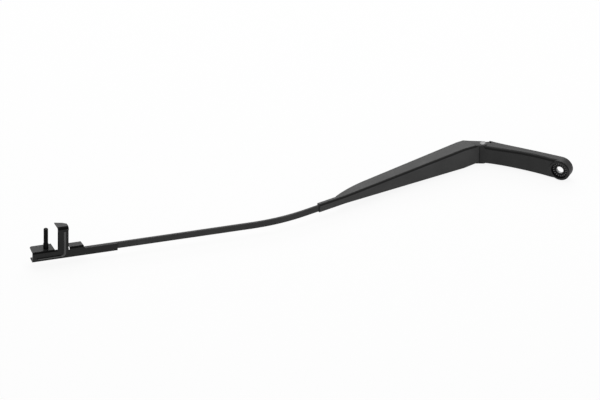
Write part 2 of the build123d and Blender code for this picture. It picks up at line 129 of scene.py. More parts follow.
class GroupMaker:
    """Builds a shader node group with named sockets."""

    def __init__(self, name: str) -> None:
        """Starts an empty group of that name."""
        self.tree = bpy.data.node_groups.new(name, "ShaderNodeTree")

    def socket_in(self, name: str, value: float) -> None:
        """Adds a float input with a default value."""
        made = self.tree.interface.new_socket(name, in_out="INPUT", socket_type="NodeSocketFloat")
        made.default_value = value

    def socket_out(self, name: str) -> None:
        """Adds a float output."""
        self.tree.interface.new_socket(name, in_out="OUTPUT", socket_type="NodeSocketFloat")

    def node(self, kind: str, **settings: object) -> bpy.types.Node:
        """Adds a node and sets its properties.

        Args:
            kind: The node's type name.
            settings: Properties of the node, by name.

        Returns:
            The new node.
        """
        made = self.tree.nodes.new(kind)
        for key, value in settings.items():
            setattr(made, key, value)
        return made

    def link(self, a: bpy.types.NodeSocket, b: bpy.types.NodeSocket) -> None:
        """Links an output to an input."""
        self.tree.links.new(a, b)

    def math(self, operation: str, a: object, b: object) -> bpy.types.NodeSocket:
        """Adds a math node.

        Args:
            operation: The operation's name.
            a: First operand, a socket or a number.
            b: Second operand, a socket or a number.

        Returns:
            The node's output.
        """
        made = self.node("ShaderNodeMath", operation=operation)
        for place, value in zip(made.inputs, (a, b)):
            if isinstance(value, bpy.types.NodeSocket):
                self.link(value, place)
            else:
                place.default_value = value
        return made.outputs[0]


def coat_grain_group() -> bpy.types.NodeTree:
    """Builds the grain that all the finishes share.

    Returns:
        A group with the inputs Grain Size and Cloud Size in metres, and the outputs Fine and Cloud.
    """
    group = GroupMaker("coat_grain")
    group.socket_in("Grain Size", 0.4 * MM)
    group.socket_in("Cloud Size", 18 * MM)
    for name in ("Fine", "Cloud"):
        group.socket_out(name)
    given = group.node("NodeGroupInput")
    out = group.node("NodeGroupOutput")
    where = group.node("ShaderNodeTexCoord")
    for name, size, detail in (("Fine", "Grain Size", 3.0), ("Cloud", "Cloud Size", 4.0)):
        noise = group.node("ShaderNodeTexNoise")
        noise.inputs["Detail"].default_value = detail
        group.link(where.outputs["Object"], noise.inputs["Vector"])
        group.link(group.math("DIVIDE", 1.0, given.outputs[size]), noise.inputs["Scale"])
        group.link(noise.outputs["Fac"], out.inputs[name])
    return group.tree


def edge_rub_and_highlight_group(kept: float = 0.42, gain: float = 14.0, samples: int = 6) -> bpy.types.NodeTree:
    """Builds the mask of lighter edges in patches, partly wear of the coat from handling and partly painted
    highlight.

    Args:
        kept: Level of the noise up to which an edge stays plain.
        gain: How steeply the lighter tone grows past that level.
        samples: Rays that look for an edge.

    Returns:
        A group with the inputs Radius in metres, Spread and Amount, and the output Mask.
    """
    group = GroupMaker("edge_rub_and_highlight")
    group.socket_in("Radius", 0.5 * MM)
    group.socket_in("Spread", 9 * MM)
    group.socket_in("Amount", 0.5)
    group.socket_out("Mask")
    given = group.node("NodeGroupInput")
    out = group.node("NodeGroupOutput")
    where = group.node("ShaderNodeTexCoord")
    # lighter edges, partly painted highlight: the Bevel normal turns away from the face near an edge
    bevel = group.node("ShaderNodeBevel", samples=samples)
    group.link(given.outputs["Radius"], bevel.inputs["Radius"])
    facing = group.node("ShaderNodeNewGeometry")
    turn = group.node("ShaderNodeVectorMath", operation="DOT_PRODUCT")
    group.link(bevel.outputs["Normal"], turn.inputs[0])
    group.link(facing.outputs["Normal"], turn.inputs[1])
    edge = group.math("SUBTRACT", 1.0, turn.outputs["Value"])
    patch = group.node("ShaderNodeTexNoise")
    patch.inputs["Detail"].default_value = 5.0
    group.link(where.outputs["Object"], patch.inputs["Vector"])
    group.link(group.math("DIVIDE", 1.0, given.outputs["Spread"]), patch.inputs["Scale"])
    broken = group.math("SUBTRACT", patch.outputs["Fac"], kept)
    worn_and_lit = group.math("MULTIPLY", edge, group.math("MULTIPLY", broken, gain))
    mask = group.node("ShaderNodeMath", operation="MULTIPLY", use_clamp=True)
    group.link(worn_and_lit, mask.inputs[0])
    group.link(given.outputs["Amount"], mask.inputs[1])
    group.link(mask.outputs[0], out.inputs["Mask"])
    return group.tree


def draw_line_group(stretch: float = 25.0) -> bpy.types.NodeTree:
    """Builds the fine lines that drawing or turning leaves on metal.

    Args:
        stretch: How many times longer than wide a line is.

    Returns:
        A group with the input Line Size in metres and the output Lines.
    """
    group = GroupMaker("draw_lines")
    group.socket_in("Line Size", 0.15 * MM)
    group.socket_out("Lines")
    given = group.node("NodeGroupInput")
    out = group.node("NodeGroupOutput")
    where = group.node("ShaderNodeTexCoord")
    longer = group.node("ShaderNodeMapping")
    longer.inputs["Scale"].default_value = (1.0 / stretch, 1.0 / stretch, 1.0)
    group.link(where.outputs["Object"], longer.inputs["Vector"])
    noise = group.node("ShaderNodeTexNoise")
    noise.inputs["Detail"].default_value = 2.0
    group.link(longer.outputs["Vector"], noise.inputs["Vector"])
    group.link(group.math("DIVIDE", 1.0, given.outputs["Line Size"]), noise.inputs["Scale"])
    group.link(noise.outputs["Fac"], out.inputs["Lines"])
    return group.tree


@dataclass(frozen=True)
class ShaderGroups:
    """The shared shader groups, built once."""

    grain: bpy.types.NodeTree
    rub_and_highlight: bpy.types.NodeTree
    lines: bpy.types.NodeTree

    @classmethod
    def build(cls) -> "ShaderGroups":
        """Builds all the groups."""
        return cls(coat_grain_group(), edge_rub_and_highlight_group(), draw_line_group())


# Finishes


class MaterialMaker:
    """A material with its Principled shader and helpers for the nodes in front of it."""

    def __init__(self, name: str) -> None:
        """Starts a material with plain shader nodes.

        Args:
            name: Name of the material.
        """
        self.material = bpy.data.materials.new(name)
        self.material.use_nodes = True
        self.tree = self.material.node_tree
        self.shader = self.tree.nodes["Principled BSDF"]

    def place(self, group: bpy.types.NodeTree, **values: float) -> bpy.types.Node:
        """Places a shader group with its own values.

        Args:
            group: The shared group.
            values: Input values, by socket name with underscores for spaces.

        Returns:
            The group node.
        """
        made = self.tree.nodes.new("ShaderNodeGroup")
        made.node_tree = group
        for key, value in values.items():
            made.inputs[key.replace("_", " ")].default_value = value
        return made

    def blend_colors(self, factor: bpy.types.NodeSocket, low: object, high: object) -> bpy.types.NodeSocket:
        """Mixes two colours by a mask.

        Args:
            factor: The mask.
            low: Colour at 0, a socket or a colour.
            high: Colour at 1, a socket or a colour.

        Returns:
            The mixed colour.
        """
        mix = self.tree.nodes.new("ShaderNodeMix")
        mix.data_type = "RGBA"
        self.tree.links.new(factor, mix.inputs["Factor"])
        for place, value in ((mix.inputs[MIX_LOW], low), (mix.inputs[MIX_HIGH], high)):
            if isinstance(value, bpy.types.NodeSocket):
                self.tree.links.new(value, place)
            else:
                place.default_value = value
        return mix.outputs[MIX_RESULT]

    def spread(self, value: bpy.types.NodeSocket, low: float, high: float) -> bpy.types.NodeSocket:
        """Maps the middle of a noise to a range.

        Args:
            value: The noise.
            low: Result at the dark end.
            high: Result at the bright end.

        Returns:
            The mapped value.
        """
        span = self.tree.nodes.new("ShaderNodeMapRange")
        span.inputs["From Min"].default_value = NOISE_DARK
        span.inputs["From Max"].default_value = NOISE_BRIGHT
        span.inputs["To Min"].default_value = low
        span.inputs["To Max"].default_value = high
        self.tree.links.new(value, span.inputs["Value"])
        return span.outputs["Result"]

    def bump(self, height: bpy.types.NodeSocket, strength: float, depth: float) -> None:
        """Feeds a height to the shader's normal.

        Args:
            height: The height field.
            strength: How strongly it shows, from 0 to 1.
            depth: Its depth in metres.
        """
        node = self.tree.nodes.new("ShaderNodeBump")
        node.inputs["Strength"].default_value = strength
        node.inputs["Distance"].default_value = depth
        self.tree.links.new(height, node.inputs["Height"])
        self.tree.links.new(node.outputs["Normal"], self.shader.inputs["Normal"])

    def feed(self, value: bpy.types.NodeSocket, socket: str) -> None:
        """Links a value to a socket of the shader."""
        self.tree.links.new(value, self.shader.inputs[socket])


@dataclass(frozen=True)
class CoatFinish:
    """Satin black coat on steel or on the cast head, with levels as linear greys."""

    level: float
    variation: float = 0.18
    roughness: float = 0.42
    roughness_spread: float = 0.05
    specular: float = 0.3
    grain_size: float = 0.45 * MM
    cloud_size: float = 22 * MM
    grain_depth: float = 0.03 * MM
    grain_strength: float = 0.10
    # lighter edges: partly wear from handling, partly painted highlight
    rub_and_highlight_level: float = 0.10
    rub_and_highlight_amount: float = 0.5
    # painted shade: the level that the folds darken to
    fold_shade_level: float = 0.003

    def build(self, name: str, groups: ShaderGroups) -> bpy.types.Material:
        """Builds the material.

        Args:
            name: Name of the material.
            groups: The shared shader groups.

        Returns:
            The finished material.
        """
        maker = MaterialMaker(name)
        grain = maker.place(groups.grain, Grain_Size=self.grain_size, Cloud_Size=self.cloud_size)
        rub_and_highlight = maker.place(groups.rub_and_highlight, Amount=self.rub_and_highlight_amount)
        cloud = maker.spread(grain.outputs["Cloud"], 0.0, 1.0)
        coat = maker.blend_colors(
            cloud, grey(self.level * (1 - self.variation)), grey(self.level * (1 + self.variation)))
        # painted shade along the folds, by the fold mask
        fold = maker.tree.nodes.new("ShaderNodeAttribute")
        fold.attribute_name = FOLD_SHADE_MASK
        folded = maker.blend_colors(fold.outputs["Fac"], coat, grey(self.fold_shade_level))
        # lighter edges, partly wear and partly painted highlight
        maker.feed(maker.blend_colors(rub_and_highlight.outputs["Mask"], folded, grey(self.rub_and_highlight_level)), "Base Color")
        low, high = self.roughness - self.roughness_spread, self.roughness + self.roughness_spread
        maker.feed(maker.spread(grain.outputs["Fine"], low, high), "Roughness")
        maker.shader.inputs["Specular IOR Level"].default_value = self.specular
        maker.bump(grain.outputs["Fine"], self.grain_strength, self.grain_depth)
        return maker.material


@dataclass(frozen=True)
class MetalFinish:
    """Bare or plated metal with its drawing lines."""

    level: float
    roughness: float
    tint: float = 0.0
    shade: float = 0.82
    roughness_share: float = 0.2
    grain_size: float = 0.3 * MM
    cloud_size: float = 6 * MM
    line_size: float = 0.15 * MM
    line_depth: float = 0.01 * MM
    line_strength: float = 0.15

    def build(self, name: str, groups: ShaderGroups) -> bpy.types.Material:
        """Builds the material.

        Args:
            name: Name of the material.
            groups: The shared shader groups.

        Returns:
            The finished material.
        """
        maker = MaterialMaker(name)
        maker.shader.inputs["Metallic"].default_value = 1.0
        grain = maker.place(groups.grain, Grain_Size=self.grain_size, Cloud_Size=self.cloud_size)
        lines = maker.place(groups.lines, Line_Size=self.line_size)
        warm = (self.level * (1 + self.tint), self.level, self.level * (1 - self.tint), 1.0)
        cloud = maker.spread(grain.outputs["Cloud"], 0.0, 1.0)
        maker.feed(maker.blend_colors(cloud, grey(self.level * self.shade), warm), "Base Color")
        low, high = self.roughness * (1 - self.roughness_share), self.roughness * (1 + self.roughness_share)
        maker.feed(maker.spread(lines.outputs["Lines"], low, high), "Roughness")
        maker.bump(lines.outputs["Lines"], self.line_strength, self.line_depth)
        return maker.material


@dataclass(frozen=True)
class PlasticFinish:
    """Moulded bearing plastic with a fine matt grain."""

    color: Color
    shade: float = 0.85
    roughness: float = 0.5
    roughness_spread: float = 0.06
    grain_size: float = 0.2 * MM
    cloud_size: float = 5 * MM
    grain_depth: float = 0.02 * MM
    grain_strength: float = 0.12

    def build(self, name: str, groups: ShaderGroups) -> bpy.types.Material:
        """Builds the material.

        Args:
            name: Name of the material.
            groups: The shared shader groups.

        Returns:
            The finished material.
        """
        maker = MaterialMaker(name)
        grain = maker.place(groups.grain, Grain_Size=self.grain_size, Cloud_Size=self.cloud_size)
        dark = tuple(self.shade * c for c in self.color[:3]) + (1.0,)
        cloud = maker.spread(grain.outputs["Cloud"], 0.0, 1.0)
        maker.feed(maker.blend_colors(cloud, dark, self.color), "Base Color")
        low, high = self.roughness - self.roughness_spread, self.roughness + self.roughness_spread
        maker.feed(maker.spread(grain.outputs["Fine"], low, high), "Roughness")
        maker.bump(grain.outputs["Fine"], self.grain_strength, self.grain_depth)
        return maker.material


FINISHES: dict[Slot, CoatFinish | MetalFinish | PlasticFinish] = {
    Slot.HEAD_COAT: CoatFinish(0.029, specular=0.14, grain_size=0.6 * MM, grain_strength=0.16),
    Slot.ARM_COAT: CoatFinish(0.051, specular=0.125, fold_shade_level=0.007),
    Slot.ROD_COAT: CoatFinish(0.040, specular=0.12, rub_and_highlight_amount=0.2),
    Slot.TIP_COAT: CoatFinish(0.014, specular=0.165),
    Slot.PIN_COAT: CoatFinish(0.004, specular=0.06, roughness=0.4),
    Slot.BARE_STEEL: MetalFinish(0.18, 0.45),
    Slot.SPRING_STEEL: MetalFinish(0.26, 0.32, tint=0.05),
    Slot.BUSH_PLASTIC: PlasticFinish((0.055, 0.055, 0.058, 1.0)),
}

TOUCHES: dict[Touch, CoatFinish | MetalFinish] = {
    # painted shade: the dark coat of crease faces and strap edges
    Touch.FOLD_SHADE: CoatFinish(0.003, specular=0.04, roughness=0.5, rub_and_highlight_level=0.02, rub_and_highlight_amount=0.2),
    # painted shade: the dark coat of the nut recess
    Touch.RECESS_SHADE: CoatFinish(0.006, specular=0.1, grain_size=0.6 * MM, rub_and_highlight_level=0.06),
    Touch.RUBBED: CoatFinish(0.12),
    # painted highlight: the lighter coat along the bead
    Touch.BEAD_HIGHLIGHT: CoatFinish(0.075),
    Touch.BORE: MetalFinish(0.28, 0.5),
}


@dataclass
class Paintbox:
    """Builds the material of each slot and touch once."""

    groups: ShaderGroups
    made: dict[Slot | Touch, bpy.types.Material] = field(default_factory=dict)

    def material(self, key: Slot | Touch) -> bpy.types.Material:
        """Gives the material of a slot or a touch, and builds it the first time.

        Args:
            key: The slot or the touch.

        Returns:
            Its material.
        """
        if key not in self.made:
            finish = TOUCHES[key] if isinstance(key, Touch) else FINISHES[key]
            self.made[key] = finish.build(key.value, self.groups)
        return self.made[key]


# Geometry node trees


class TreeMaker:
    """Builds a geometry node tree with named inputs."""

    def __init__(self, name: str) -> None:
        """Starts a tree with a geometry input, a geometry output and a material input.

        Args:
            name: Name of the tree.
        """
        self.tree = bpy.data.node_groups.new(name, "GeometryNodeTree")
        face = self.tree.interface
        face.new_socket("Geometry", in_out="INPUT", socket_type="NodeSocketGeometry")
        face.new_socket("Geometry", in_out="OUTPUT", socket_type="NodeSocketGeometry")
        self.given: bpy.types.Node | None = None
        self.socket_in("Material", "NodeSocketMaterial", None)

    def socket_in(self, name: str, kind: str, value: object) -> None:
        """Adds a named input.

        Args:
            name: The input's name.
            kind: Its socket type.
            value: Its default value, or None.
        """
        made = self.tree.interface.new_socket(name, in_out="INPUT", socket_type=kind)
        if value is not None:
            made.default_value = value

    def start(self) -> bpy.types.Node:
        """Adds the group input node, once all the inputs are named."""
        self.given = self.tree.nodes.new("NodeGroupInput")
        return self.given

    def node(self, kind: str, links: dict[str, bpy.types.NodeSocket], **settings: object) -> bpy.types.Node:
        """Adds a node, sets its properties and links its inputs.

        Args:
            kind: The node's type name.
            links: Sockets for its inputs, by input name.
            settings: Properties of the node, by name.

        Returns:
            The new node.
        """
        made = self.tree.nodes.new(kind)
        for key, value in settings.items():
            setattr(made, key, value)
        for key, value in links.items():
            self.tree.links.new(value, made.inputs[key])
        return made

    def close(self, geometry: bpy.types.NodeSocket) -> bpy.types.NodeTree:
        """Ends the tree with real geometry that carries its material.

        Args:
            geometry: What the tree has made.

        Returns:
            The finished tree.
        """
        real = self.node("GeometryNodeRealizeInstances", {"Geometry": geometry})
        paint = self.node(
            "GeometryNodeSetMaterial",
            {"Geometry": real.outputs["Geometry"], "Material": self.given.outputs["Material"]})
        out = self.tree.nodes.new("NodeGroupOutput")
        self.tree.links.new(paint.outputs["Geometry"], out.inputs["Geometry"])
        return self.tree


def weld_tree() -> bpy.types.NodeTree:
    """Builds the tree that joins points that lie on each other, such as those of loose triangles.

    Returns:
        A tree with the inputs Material and Distance.
    """
    maker = TreeMaker("weld_faces")
    maker.socket_in("Distance", "NodeSocketFloat", 0.002 * MM)
    given = maker.start()
    joined = maker.node(
        "GeometryNodeMergeByDistance",
        {"Geometry": given.outputs["Geometry"], "Distance": given.outputs["Distance"]})
    return maker.close(joined.outputs["Geometry"])


def smooth_tree() -> bpy.types.NodeTree:
    """Builds the tree that shades round faces smooth and keeps the folds crisp.

    Returns:
        A tree with the inputs Material and Crease Angle in radians.
    """
    maker = TreeMaker("smooth_faces")
    maker.socket_in("Crease Angle", "NodeSocketFloat", CREASE_ANGLE)
    given = maker.start()
    faces = maker.node("GeometryNodeSetShadeSmooth", {"Geometry": given.outputs["Geometry"]}, domain="FACE")
    angle = maker.node("GeometryNodeInputMeshEdgeAngle", {})
    soft = maker.node("FunctionNodeCompare", {}, data_type="FLOAT", operation="LESS_THAN")
    maker.tree.links.new(angle.outputs["Unsigned Angle"], soft.inputs[0])
    maker.tree.links.new(given.outputs["Crease Angle"], soft.inputs[1])
    edges = maker.node(
        "GeometryNodeSetShadeSmooth",
        {"Geometry": faces.outputs["Geometry"], "Shade Smooth": soft.outputs["Result"]}, domain="EDGE")
    return maker.close(edges.outputs["Geometry"])


def wire_tree() -> bpy.types.NodeTree:
    """Builds the tree that draws a round wire along a curve.

    Returns:
        A tree with the inputs Material, Wire Radius and Sides.
    """
    maker = TreeMaker("wire_along_path")
    maker.socket_in("Wire Radius", "NodeSocketFloat", 0.8 * MM)
    maker.socket_in("Sides", "NodeSocketInt", 12)
    given = maker.start()
    ring = maker.node(
        "GeometryNodeCurvePrimitiveCircle",
        {"Resolution": given.outputs["Sides"], "Radius": given.outputs["Wire Radius"]})
    tube = maker.node(
        "GeometryNodeCurveToMesh",
        {"Curve": given.outputs["Geometry"], "Profile Curve": ring.outputs["Curve"]})
    tube.inputs["Fill Caps"].default_value = True
    shaded = maker.node("GeometryNodeSetShadeSmooth", {"Geometry": tube.outputs["Mesh"]}, domain="FACE")
    return maker.close(shaded.outputs["Geometry"])


def tooth_tree() -> bpy.types.NodeTree:
    """Builds the tree that sets low radial teeth in a ring.

    Returns:
        A tree with the inputs Material, Count, Radius, Tooth Length, Tooth Width and Tooth Height.
    """
    maker = TreeMaker("ring_of_teeth")
    maker.socket_in("Count", "NodeSocketInt", 24)
    maker.socket_in("Radius", "NodeSocketFloat", 5.5 * MM)
    for name in ("Tooth Length", "Tooth Width", "Tooth Height"):
        maker.socket_in(name, "NodeSocketFloat", 0.5 * MM)
    given = maker.start()
    ring = maker.node(
        "GeometryNodeCurvePrimitiveCircle",
        {"Resolution": given.outputs["Count"], "Radius": given.outputs["Radius"]})
    size = maker.node("ShaderNodeCombineXYZ", {
        "X": given.outputs["Tooth Length"], "Y": given.outputs["Tooth Width"],
        "Z": given.outputs["Tooth Height"]})
    tooth = maker.node("GeometryNodeMeshCube", {"Size": size.outputs["Vector"]})
    points = maker.node("GeometryNodeCurveToPoints", {"Curve": ring.outputs["Curve"]}, mode="EVALUATED")
    index = maker.node("GeometryNodeInputIndex", {})
    share = maker.node("ShaderNodeMath", {}, operation="DIVIDE")
    maker.tree.links.new(index.outputs[0], share.inputs[0])
    maker.tree.links.new(given.outputs["Count"], share.inputs[1])
    angle = maker.node("ShaderNodeMath", {}, operation="MULTIPLY")
    angle.inputs[1].default_value = math.tau
    maker.tree.links.new(share.outputs[0], angle.inputs[0])
    turn = maker.node("ShaderNodeCombineXYZ", {"Z": angle.outputs[0]})
    around = maker.node("GeometryNodeInstanceOnPoints", {
        "Points": points.outputs["Points"], "Instance": tooth.outputs["Mesh"],
        "Rotation": turn.outputs["Vector"]})
    return maker.close(around.outputs["Instances"])


def run_tree(obj: bpy.types.Object, tree: bpy.types.NodeTree, **values: object) -> None:
    """Adds a tree to an object as a modifier with its input values.

    Args:
        obj: The object.
        tree: The tree.
        values: Input values, by socket name with underscores for spaces.
    """
    modifier = obj.modifiers.new(tree.name, "NODES")
    modifier.node_group = tree
    keys = {s.name: s.identifier for s in tree.interface.items_tree if getattr(s, "in_out", "") == "INPUT"}
    for name, value in values.items():
        modifier[keys[name.replace("_", " ")]] = value


def ease_edges(obj: bpy.types.Object, width: float) -> None:
    """Adds a bevel that eases the sharp edges of an object.

    Args:
        obj: The object.
        width: Width of the eased edges in metres.
    """
    ease = obj.modifiers.new("eased_edges", "BEVEL")
    ease.width = width
    ease.segments = EASE_SEGMENTS
    ease.limit_method = "ANGLE"
    ease.angle_limit = EASE_ANGLE
    ease.use_clamp_overlap = True


def plain_mesh(source: bpy.types.Object, name: str) -> bpy.types.Object:
    """Turns an object and its modifiers into a plain mesh object, and removes the source.

    Args:
        source: The object with live modifiers.
        name: Name of the new object.

    Returns:
        The new object, at the origin.
    """
    graph = bpy.context.evaluated_depsgraph_get()
    mesh = bpy.data.meshes.new_from_object(
        source.evaluated_get(graph), preserve_all_data_layers=True, depsgraph=graph)
    bpy.data.objects.remove(source)
    mesh.name = name
    made = bpy.data.objects.new(name, mesh)
    bpy.context.scene.collection.objects.link(made)
    return made


# Rules for painted shade at folds and for faces with their own coat, some of them painted shade or painted
# highlight


def ramp(value: float, start: float, end: float) -> float:
    """Maps a value to 0 at the start and 1 at the end, and holds it there."""
    return min(1.0, max(0.0, (value - start) / (end - start)))


@dataclass(frozen=True)
class FoldShadeRule:
    """Finds the rounded folds of a piece between its outer side and its edges, which take painted shade."""

    outward: Vector
    past_edge: tuple[float, float] = (0.0, 0.1)
    off_front: tuple[float, float] = (1.0, 0.95)
    slope: tuple[float, float] = (0.05, 0.3)

    def weight(self, normal: Vector) -> float:
        """Returns how far a normal turns from the outer side towards the edges, from 0 to 1."""
        out = normal.dot(self.outward)
        return ramp(out, *self.past_edge) * ramp(out, *self.off_front) * ramp(abs(normal.z), *self.slope)

    def apply(self, mesh: bpy.types.Mesh, paints: Paintbox) -> None:
        """Writes the mask of painted shade that darkens the folds on the piece's own coat.

        Args:
            mesh: The piece's mesh.
            paints: Not used; the rule leaves the paints as they are.
        """
        mask = mesh.attributes.new(FOLD_SHADE_MASK, "FLOAT", "CORNER")
        for corner, normal in zip(mask.data, mesh.corner_normals):
            corner.value = self.weight(normal.vector)


class FaceRule:
    """Gives the faces that it finds their own coat."""

    touch: Touch

    def holds(self, face: bpy.types.MeshPolygon) -> bool:
        """Tells whether the coat covers a face."""
        raise NotImplementedError

    def apply(self, mesh: bpy.types.Mesh, paints: Paintbox) -> None:
        """Paints the faces that the rule finds.

        Args:
            mesh: The piece's mesh.
            paints: The paints, with the rule's coat.
        """
        paint = paints.material(self.touch)
        if paint.name not in mesh.materials:
            mesh.materials.append(paint)
        index = mesh.materials.find(paint.name)
        for face in mesh.polygons:
            if self.holds(face):
                face.material_index = index


@dataclass(frozen=True)
class RecessRule(FaceRule):
    """Finds the faces of the head within a radius of the spindle axis, below a level, for the painted shade
    of the nut recess or the bare metal of the bore.
    """

    radius: float
    rim: float
    # painted shade in the recess unless another touch is given
    touch: Touch = Touch.RECESS_SHADE
    walls_only: bool = False
    wall_tilt: float = 0.5

    def holds(self, face: bpy.types.MeshPolygon) -> bool:
        """Tells whether a face lies within the radius, below the rim.

        Args:
            face: The face.

        Returns:
            True where the coat covers it.
        """
        x, y, z = face.center
        wanted = not self.walls_only or abs(face.normal.y) < self.wall_tilt
        return wanted and math.hypot(x, z) < self.radius and y > self.rim


@dataclass(frozen=True)
class CreaseShadeRule(FaceRule):
    """Finds the slanted faces of a fold between a sheet's outer side and its tabs, which take painted
    shade.
    """

    outward: Vector
    touch: Touch = Touch.FOLD_SHADE
    flattest: float = 0.995
    steepest: float = 0.09
    least_rise: float = 0.09

    def holds(self, face: bpy.types.MeshPolygon) -> bool:
        """Tells whether a face slants from the outer side up or down."""
        slanted = self.steepest < face.normal.dot(self.outward) < self.flattest
        return slanted and abs(face.normal.z) > self.least_rise


@dataclass(frozen=True)
class StrapShadeRule(FaceRule):
    """Finds the slanted long edges of an upright strap, which take painted shade."""

    outward: Vector
    lowest: float
    touch: Touch = Touch.FOLD_SHADE
    flattest: float = 0.95
    steepest: float = 0.3
    most_rise: float = 0.09

    def holds(self, face: bpy.types.MeshPolygon) -> bool:
        """Tells whether a face slants from the strap's front to its side."""
        slanted = self.steepest < face.normal.dot(self.outward) < self.flattest
        return slanted and abs(face.normal.z) < self.most_rise and face.center.z > self.lowest


@dataclass(frozen=True)
class BeadHighlightRule(FaceRule):
    """Finds the faces of a pressed bead that stands out from a sheet, which take a painted highlight."""

    outward: Vector
    level: float
    start: float
    # painted highlight on the bead
    touch: Touch = Touch.BEAD_HIGHLIGHT

    def holds(self, face: bpy.types.MeshPolygon) -> bool:
        """Tells whether a face lies on the bead's upright part or on its turn."""
        return face.center.dot(self.outward) > self.level and face.center.x > self.start


# Sub-assemblies


@dataclass
class Workshop:
    """What every sub-assembly works with: the frame's nodes, the paints and the shared trees."""

    nodes: dict[str, bpy.types.Object]
    paints: Paintbox
    weld: bpy.types.NodeTree
    smooth: bpy.types.NodeTree

    def finish_node(
        self, node: str, name: str, slot: Slot, body: Body, edge: float,
        rules: tuple[FoldShadeRule | FaceRule, ...] = (),
    ) -> None:
        """Makes the piece that stands for a CAD node, with eased edges and smooth round faces.

        Args:
            node: The CAD node.
            name: Name of the finished piece.
            slot: Its material slot.
            body: The body that it rides on.
            edge: Width of the eased edges in metres.
            rules: Rules for the painted shade at folds and for faces that take another coat, such as
                painted shade or painted highlight; a later rule wins.
        """
        paint = self.paints.material(slot)
        mesh = self.nodes[node].data.copy()
        mesh.materials.clear()
        work = bpy.data.objects.new(f"{name}_work", mesh)
        bpy.context.scene.collection.objects.link(work)
        run_tree(work, self.weld, Material=paint)
        flat = work.modifiers.new("flat_faces", "DECIMATE")
        flat.decimate_type = "DISSOLVE"
        flat.angle_limit = FLAT_ANGLE
        ease_edges(work, edge)
        run_tree(work, self.weld, Material=paint, Distance=SEAM_WELD)
        run_tree(work, self.smooth, Material=paint)
        weighted = work.modifiers.new("flat_shading", "WEIGHTED_NORMAL")
        weighted.keep_sharp = True
        made = plain_mesh(work, name)
        for rule in rules:
            rule.apply(made.data, self.paints)
        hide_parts(node)
        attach(made, body.value)
        LOG.info("%s: %d faces for %s", name, len(made.data.polygons), node)


@dataclass
class ArmFrame:
    """The channel's own frame: x towards the blade, y outwards, z along the pins."""

    hinge: Vector
    lift: float = math.radians(55.4)

    def outward(self, bend: float = 0.0) -> Vector:
        """Returns the outward direction, or that of the rod past a bend towards the glass."""
        angle = self.lift - bend
        return Vector((math.sin(angle), -math.cos(angle), 0.0))

    def place(self, x: float, y: float, z: float = 0.0) -> Vector:
        """Returns a point of the channel's frame in the row frame."""
        along = Vector((-math.cos(self.lift), -math.sin(self.lift), 0.0))
        return self.hinge + along * x + self.outward() * y + Vector((0.0, 0.0, z))


@dataclass
class HeadAssembly:
    """Cast mounting head with its cross pin, its bushes and the teeth around its bore."""

    shop: Workshop
    edge: float = 0.25 * MM
    pin_edge: float = 0.1 * MM
    bush_edge: float = 0.1 * MM
    recess_radius: float = 9.6 * MM
    recess_rim: float = -2.3 * MM
    bore_radius: float = 4.3 * MM
    tooth_count: int = 18
    tooth_radius: float = 7.4 * MM
    tooth_length: float = 2.0 * MM
    tooth_width: float = 1.0 * MM
    tooth_height: float = 1.0 * MM
    tooth_edge: float = 0.22 * MM
    tooth_crease: float = math.radians(60)

    def build(self) -> None:
        """Builds and dresses the pieces of the head."""
        # painted shade along the head's folds and in its nut recess; the bore takes bare metal
        rules = (
            FoldShadeRule(HEAD_OUTWARD),
            RecessRule(self.recess_radius, self.recess_rim),
            RecessRule(self.bore_radius, self.recess_rim, Touch.BORE, walls_only=True),
        )
        self.shop.finish_node("mounting_head", "head_casting", Slot.HEAD_COAT, Body.HEAD, self.edge, rules)
        self.shop.finish_node("spring_anchor_pin", "cross_pin", Slot.BARE_STEEL, Body.HEAD, self.pin_edge)
        for node, name in (("hinge_bush_upper", "upper_bush"), ("hinge_bush_lower", "lower_bush")):
            self.shop.finish_node(node, name, Slot.BUSH_PLASTIC, Body.HEAD, self.bush_edge)
        self.add_teeth()

    def add_teeth(self) -> None:
        """Sets the ring of low teeth on the floor of the nut recess."""
        work = bpy.data.objects.new("teeth_work", bpy.data.meshes.new("teeth_work"))
        bpy.context.scene.collection.objects.link(work)
        paint = self.shop.paints.material(Touch.RUBBED)
        run_tree(
            work, tooth_tree(), Material=paint, Count=self.tooth_count, Radius=self.tooth_radius,
            Tooth_Length=self.tooth_length, Tooth_Width=self.tooth_width, Tooth_Height=self.tooth_height)
        ease_edges(work, self.tooth_edge)
        run_tree(work, self.shop.smooth, Material=paint, Crease_Angle=self.tooth_crease)
        teeth = plain_mesh(work, "seat_teeth")
        for vertex in teeth.data.vertices:
            x, y, z = vertex.co
            vertex.co = (x, z, -y)
        teeth.data.update()
        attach(teeth, Body.HEAD.value)
        LOG.info("seat_teeth: %d teeth", self.tooth_count)


@dataclass
class ChannelAssembly:
    """Folded channel on its hinge pin, with the spring link inside it."""

    shop: Workshop
    arm: ArmFrame
    edge: float = 0.3 * MM
    pin_edge: float = 0.15 * MM
    link_edge: float = 0.2 * MM

    def build(self) -> None:
        """Builds and dresses the pieces of the channel."""
        # painted shade along the channel's folds
        rules = (FoldShadeRule(self.arm.outward()),)
        self.shop.finish_node("arm_channel", "folded_channel", Slot.ARM_COAT, Body.ARM, self.edge, rules)
        self.shop.finish_node("hinge_pin", "riveted_pin", Slot.BARE_STEEL, Body.ARM, self.pin_edge)
        self.shop.finish_node("spring_link", "hooked_link", Slot.BARE_STEEL, Body.LINK, self.link_edge)


